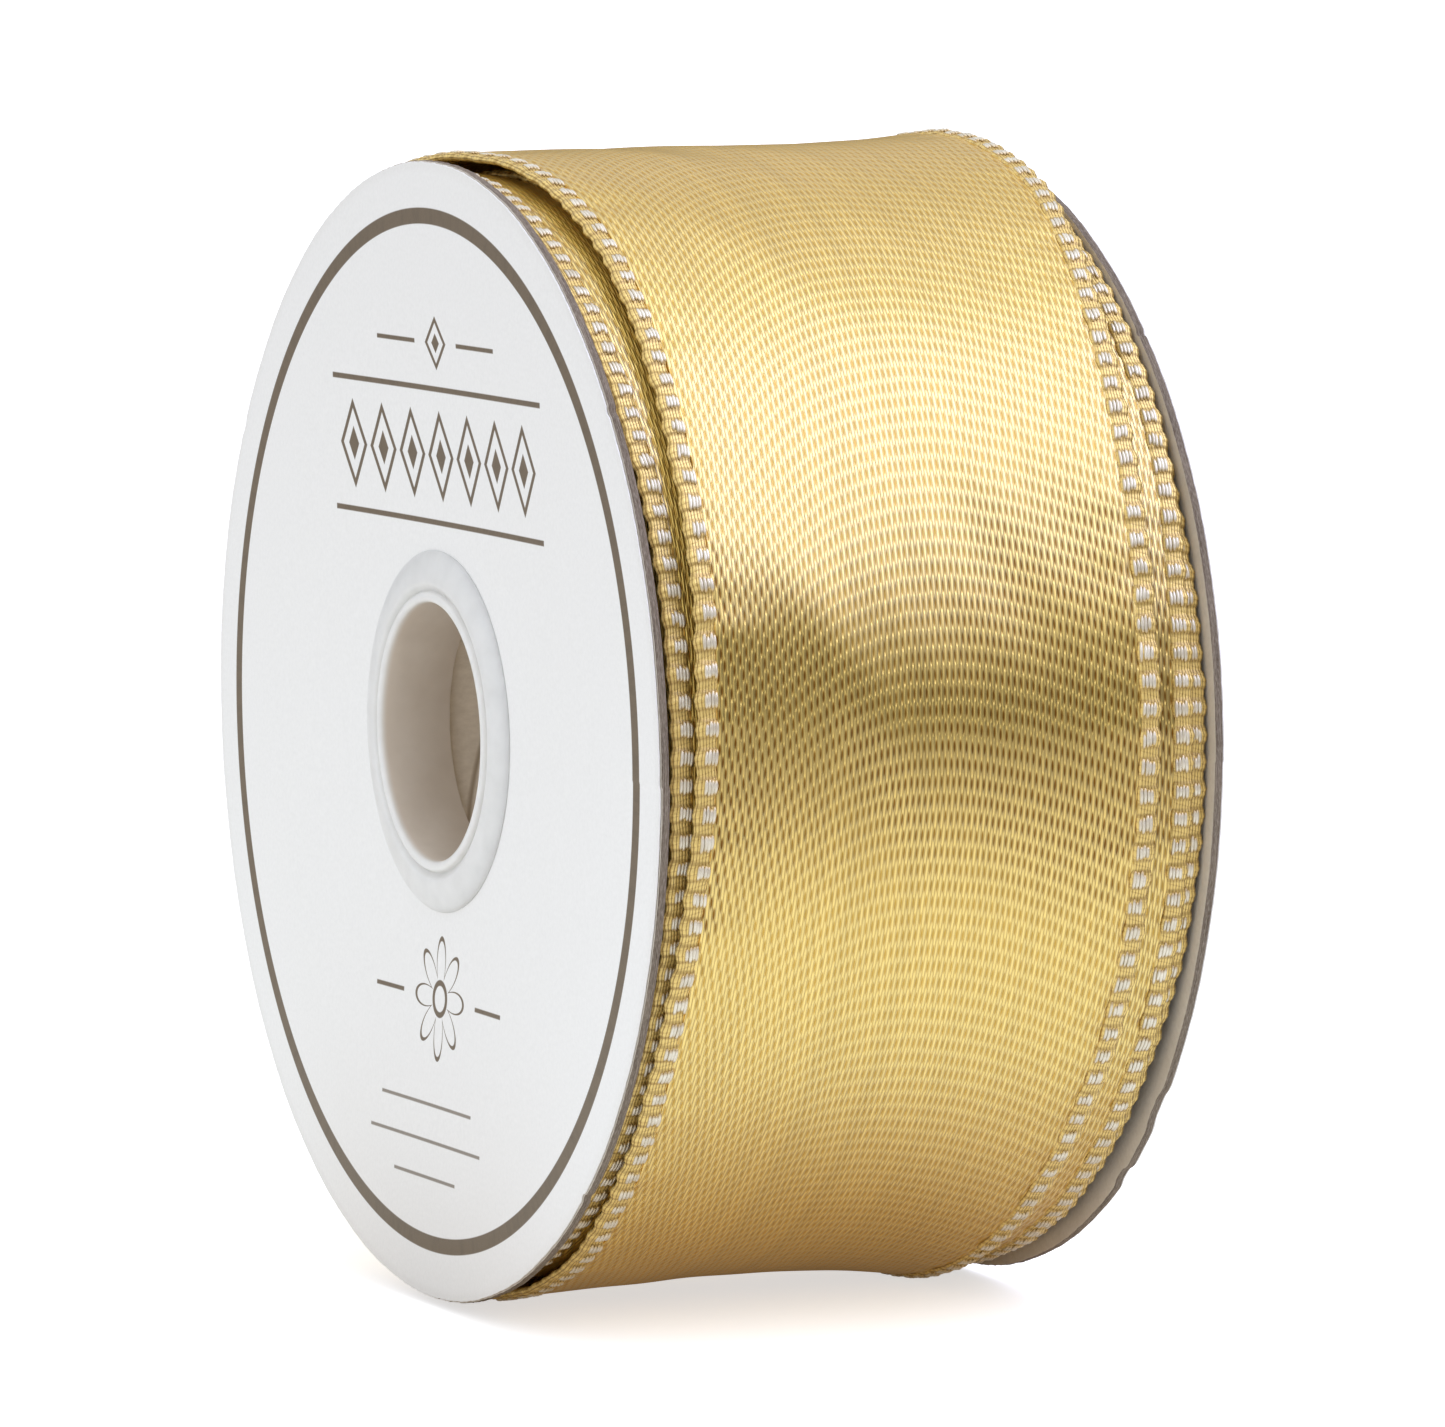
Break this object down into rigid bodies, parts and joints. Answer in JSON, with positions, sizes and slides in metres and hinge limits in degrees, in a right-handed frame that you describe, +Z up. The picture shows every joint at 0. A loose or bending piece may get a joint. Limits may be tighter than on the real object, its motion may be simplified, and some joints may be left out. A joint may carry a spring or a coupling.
{
  "type": "ribbon spool",
  "caption": "Round spool of wired satin gift ribbon: board flanges with face papers on a paperboard core tube, plastic hub bushes, and ribbon that unwinds with a free end that lifts.",
  "frame": {"origin": "middle of the spool, on its axis", "axes": "+Y along the spool's axis from the front flange to the rear flange, +Z up with the spool standing on its round edge, +X completes the right-handed frame"},
  "size_m": [0.0896, 0.0456, 0.0888],
  "materials": {
    "label_paper": "smooth coated white paper",
    "flange_board": "uncoated grey board with a cut edge",
    "core_board": "spiral wound kraft paperboard",
    "bush_plastic": "milky, slightly see-through, satin",
    "ribbon_satin": "metallic gold satin weave",
    "ribbon_edge": "woven edge, cream floats on gold",
    "edge_wire": "fine drawn wire",
    "clear_tape": "clear adhesive film"
  },
  "bodies": {
    "spool": {"core_tube": "core_board", "front_bush": "bush_plastic", "front_flange_board": "flange_board", "front_label": "label_paper", "rear_bush": "bush_plastic", "rear_flange_board": "flange_board", "rear_label": "label_paper", "core_tape": "clear_tape", "inner_windings": "ribbon_satin", "fourth_turn_satin": "ribbon_satin", "fourth_turn_front_edge": "ribbon_edge", "fourth_turn_front_wire": "edge_wire", "fourth_turn_rear_edge": "ribbon_edge", "fourth_turn_rear_wire": "edge_wire", "third_turn_satin": "ribbon_satin", "third_turn_front_edge": "ribbon_edge", "third_turn_front_wire": "edge_wire", "third_turn_rear_edge": "ribbon_edge", "third_turn_rear_wire": "edge_wire", "second_turn_satin": "ribbon_satin", "second_turn_front_edge": "ribbon_edge", "second_turn_front_wire": "edge_wire", "second_turn_rear_edge": "ribbon_edge", "second_turn_rear_wire": "edge_wire"},
    "outer_turn": {"outer_turn_satin": "ribbon_satin", "outer_turn_front_edge": "ribbon_edge", "outer_turn_front_wire": "edge_wire", "outer_turn_rear_edge": "ribbon_edge", "outer_turn_rear_wire": "edge_wire"},
    "free_end": {"free_end_satin": "ribbon_satin", "free_end_front_edge": "ribbon_edge", "free_end_front_wire": "edge_wire", "free_end_rear_edge": "ribbon_edge", "free_end_rear_wire": "edge_wire", "end_tape": "clear_tape"}
  },
  "joints": [
    {"name": "ribbon_unwind", "type": "hinge", "parent": "spool", "child": "outer_turn", "pos_m": [0, 0, 0], "axis": [0, 1, 0], "continuous": true},
    {"name": "free_end_lift", "type": "hinge", "parent": "outer_turn", "child": "free_end", "pos_m": [-0.03651, 0, 0.02535], "axis": [0, 1, 0], "range_deg": [0, 80]}
  ]
}
